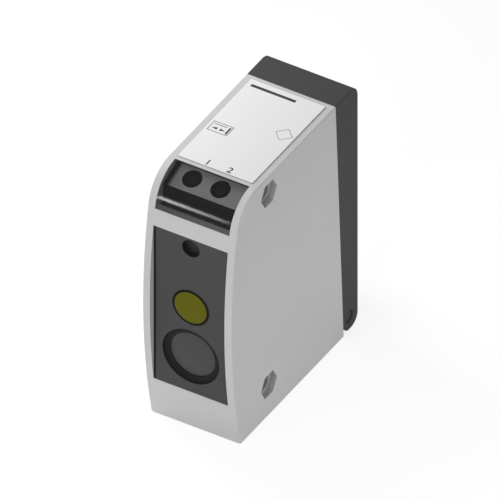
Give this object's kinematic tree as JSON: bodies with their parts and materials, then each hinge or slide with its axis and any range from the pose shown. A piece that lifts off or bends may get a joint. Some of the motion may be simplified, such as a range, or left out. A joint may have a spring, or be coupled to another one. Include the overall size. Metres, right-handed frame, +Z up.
{
  "type": "optical distance sensor",
  "caption": "Upright slim moulded sensor head with a laser aperture and receiving lens in its front, indicator window, two cross bores and a round rear connector.",
  "frame": {"origin": "centre of the housing's flat base face, on the surface that it stands on", "axes": "+X across the case (its thin way), +Y from the optical front to the connector at the back, +Z up"},
  "size_m": [0.0306, 0.0855, 0.0903],
  "materials": {
    "case_plastic": "fine moulded grain",
    "cover_plastic": "fine moulded grain",
    "plate_plastic": "satin",
    "optic_plastic": "polished",
    "clear_glass": "polished",
    "smoky_clear": "polished",
    "block_plastic": "fine moulded grain",
    "carrier_plastic": "matt",
    "seal_rubber": "matt",
    "lamp_plastic": "polished",
    "board_laminate": "satin solder mask",
    "chip_plastic": "matt",
    "screw_steel": "satin",
    "nickel_brass": "nickel plated",
    "contact_gold": "gold plated",
    "machined_aluminium": "turned",
    "cable_film": "satin",
    "label_film": "satin",
    "marker_yellow": "satin"
  },
  "bodies": {
    "root": {"housing": "case_plastic", "rear_cover": "cover_plastic", "front_plate": "plate_plastic", "receiver_lens": "optic_plastic", "emitter_window": "optic_plastic", "indicator_window": "smoky_clear", "indicator_block": "block_plastic", "indicator_board": "board_laminate", "indicator_led_left": "lamp_plastic", "indicator_led_right": "lamp_plastic", "front_seal": "seal_rubber", "lens_seal": "seal_rubber", "cover_gasket": "seal_rubber", "cover_screws": "screw_steel", "optics_carrier": "carrier_plastic", "laser_barrel": "machined_aluminium", "collimating_lens": "clear_glass", "laser_diode": "screw_steel", "photodetector": "screw_steel", "optical_filter": "clear_glass", "receiver_board": "board_laminate", "main_board": "board_laminate", "processor_chip": "chip_plastic", "timing_chip": "chip_plastic", "power_inductor": "chip_plastic", "capacitor_1": "machined_aluminium", "capacitor_2": "machined_aluminium", "board_header": "chip_plastic", "cable_socket": "chip_plastic", "connector_shell": "nickel_brass", "connector_insert": "chip_plastic", "connector_seal": "seal_rubber", "connector_nut": "nickel_brass", "connector_board": "board_laminate", "flat_cable": "cable_film", "top_label": "label_film", "front_marker": "marker_yellow", "contact_pin_1": "contact_gold", "contact_pin_2": "contact_gold", "contact_pin_3": "contact_gold", "contact_pin_4": "contact_gold", "contact_pin_5": "contact_gold"}
  },
  "joints": []
}
